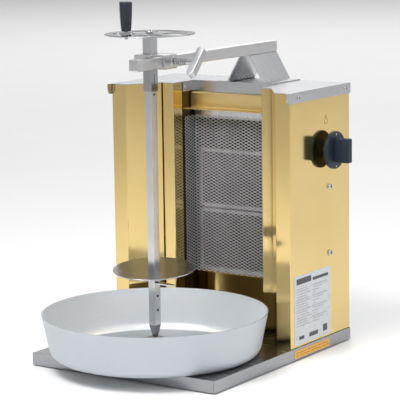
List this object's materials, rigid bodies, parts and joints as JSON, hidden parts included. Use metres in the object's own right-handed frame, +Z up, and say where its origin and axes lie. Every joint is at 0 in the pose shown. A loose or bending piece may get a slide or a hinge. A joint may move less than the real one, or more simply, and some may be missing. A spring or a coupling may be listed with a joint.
{
  "type": "vertical rotisserie broiler",
  "caption": "Counter-top vertical rotisserie gas broiler with gold-coloured reflector wings, mesh-guarded burners, hand-cranked spit, meat plate and drip pan.",
  "frame": {"origin": "bottom centre of the whole machine's box at rest, on the surface it stands on", "axes": "+Z up, +Y from the drip pan to the back cover, +X towards the side with the control knob"},
  "size_m": [0.4396, 0.5716, 0.644],
  "materials": {
    "gold_sheet": "polished stainless sheet with a gold-coloured hard coating",
    "stainless_sheet": "satin stainless sheet",
    "stainless_bar": "ground stainless tube and bar",
    "polished_steel": "polished stainless steel",
    "cast_steel": "plated steel casting, dull grey",
    "fastener_steel": "bright zinc-plated steel",
    "dark_steel": "heat-blackened steel sheet",
    "mesh_steel": "expanded steel mesh, heat-stained",
    "burner_steel": "aluminised steel, dull",
    "ceramic_tile": "perforated ceramic, matt",
    "brass_parts": "machined brass",
    "copper_pipe": "drawn copper tube",
    "bronze_bush": "sintered bronze",
    "pan_aluminium": "spun aluminium, matt",
    "cup_steel": "turned steel",
    "grip_plastic": "moulded black plastic, fine grain",
    "knob_plastic": "moulded slate-grey plastic",
    "mark_white": "white inlay",
    "foot_rubber": "black rubber",
    "label_film": "silver-white film",
    "sticker_film": "orange film"
  },
  "bodies": {
    "cabinet": {"arm_bracket": "stainless_sheet", "arm_end_caps": "stainless_bar", "base_tray": "stainless_sheet", "bottom_cross_panel": "gold_sheet", "burner_bodies": "burner_steel", "burner_brackets": "burner_steel", "ceramic_tiles": "ceramic_tile", "edge_sticker": "sticker_film", "feed_pipe": "copper_pipe", "foot_screws": "fastener_steel", "gas_injectors": "brass_parts", "gas_inlet": "brass_parts", "gas_manifold": "burner_steel", "gas_valve_body": "brass_parts", "heat_deflector": "dark_steel", "hex_nuts": "fastener_steel", "left_side_panel": "gold_sheet", "lid": "stainless_sheet", "lid_screws": "fastener_steel", "mesh_guard": "mesh_steel", "mesh_rails": "fastener_steel", "mixing_tubes": "burner_steel", "rating_label": "label_film", "rear_heat_shield": "dark_steel", "rear_panel": "stainless_sheet", "rear_screws": "fastener_steel", "recess_liners": "dark_steel", "recess_stiles": "gold_sheet", "right_side_panel": "gold_sheet", "rubber_feet": "foot_rubber", "side_screws": "fastener_steel", "supply_pipe": "copper_pipe", "support_arm": "stainless_bar", "thermocouple": "burner_steel", "top_cross_panel": "gold_sheet", "valve_mount": "burner_steel", "valve_spring": "fastener_steel"},
    "head": {"head_sleeve": "stainless_bar", "bearing_block": "stainless_bar", "bearing_bush": "bronze_bush", "clamp_boss": "stainless_bar"},
    "clamp_pad": {"clamp_pad": "brass_parts"},
    "clamp_screw": {"clamp_screw": "cast_steel"},
    "spit": {"spit_tube": "polished_steel", "spit_point": "polished_steel", "upper_sleeve": "polished_steel", "lower_sleeve": "polished_steel", "spit_journal": "polished_steel", "handwheel": "polished_steel", "wheel_fixings": "fastener_steel", "grip_bolt": "fastener_steel"},
    "crank_handle": {"crank_handle": "grip_plastic"},
    "meat_plate": {"meat_plate": "polished_steel", "plate_collar": "polished_steel"},
    "plate_key": {"plate_key": "polished_steel"},
    "pan": {"drip_pan": "pan_aluminium", "pivot_cup": "cup_steel"},
    "valve_stem": {"valve_stem": "fastener_steel"},
    "knob": {"knob": "knob_plastic", "knob_marks": "mark_white"}
  },
  "joints": [
    {"name": "head_slide", "type": "slide", "parent": "cabinet", "child": "head", "axis": [0, 1, 0], "range_m": [-0.04, 0.015]},
    {"name": "pan_slide", "type": "slide", "parent": "cabinet", "child": "pan", "axis": [0, 1, 0], "range_m": [-0.04, 0.015]},
    {"name": "clamp_travel", "type": "slide", "parent": "head", "child": "clamp_pad", "axis": [1, 0, 0], "range_m": [0, 0.005]},
    {"name": "clamp_turn", "type": "hinge", "parent": "clamp_pad", "child": "clamp_screw", "pos_m": [0.02525, -0.07025, 0.542], "axis": [1, 0, 0], "range_deg": [0, 400]},
    {"name": "spit_spin", "type": "hinge", "parent": "head", "child": "spit", "pos_m": [-0.01975, -0.08575, 0.3], "axis": [0, 0, 1], "continuous": true},
    {"name": "handle_spin", "type": "hinge", "parent": "spit", "child": "crank_handle", "pos_m": [-0.06175, -0.09675, 0.62], "axis": [0, 0, 1], "continuous": true},
    {"name": "plate_lift", "type": "slide", "parent": "spit", "child": "meat_plate", "axis": [0, 0, 1], "range_m": [0, 0.3]},
    {"name": "key_pull", "type": "slide", "parent": "spit", "child": "plate_key", "axis": [0.9914, -0.1305, 0], "range_m": [0, 0.03]},
    {"name": "knob_push", "type": "slide", "parent": "cabinet", "child": "valve_stem", "axis": [-1, 0, 0], "range_m": [0, 0.003], "stiffness_N_per_m": 2500, "springref_m": -0.002, "deforming": ["valve_spring"]},
    {"name": "knob_turn", "type": "hinge", "parent": "valve_stem", "child": "knob", "pos_m": [0.18325, 0.18975, 0.367], "axis": [1, 0, 0], "range_deg": [0, 180]}
  ],
  "couplings": [
    {"joint": "pan_slide", "follows": "head_slide", "ratio": 1},
    {"joint": "clamp_turn", "follows": "clamp_travel", "rad_per_m": 1396.3}
  ]
}
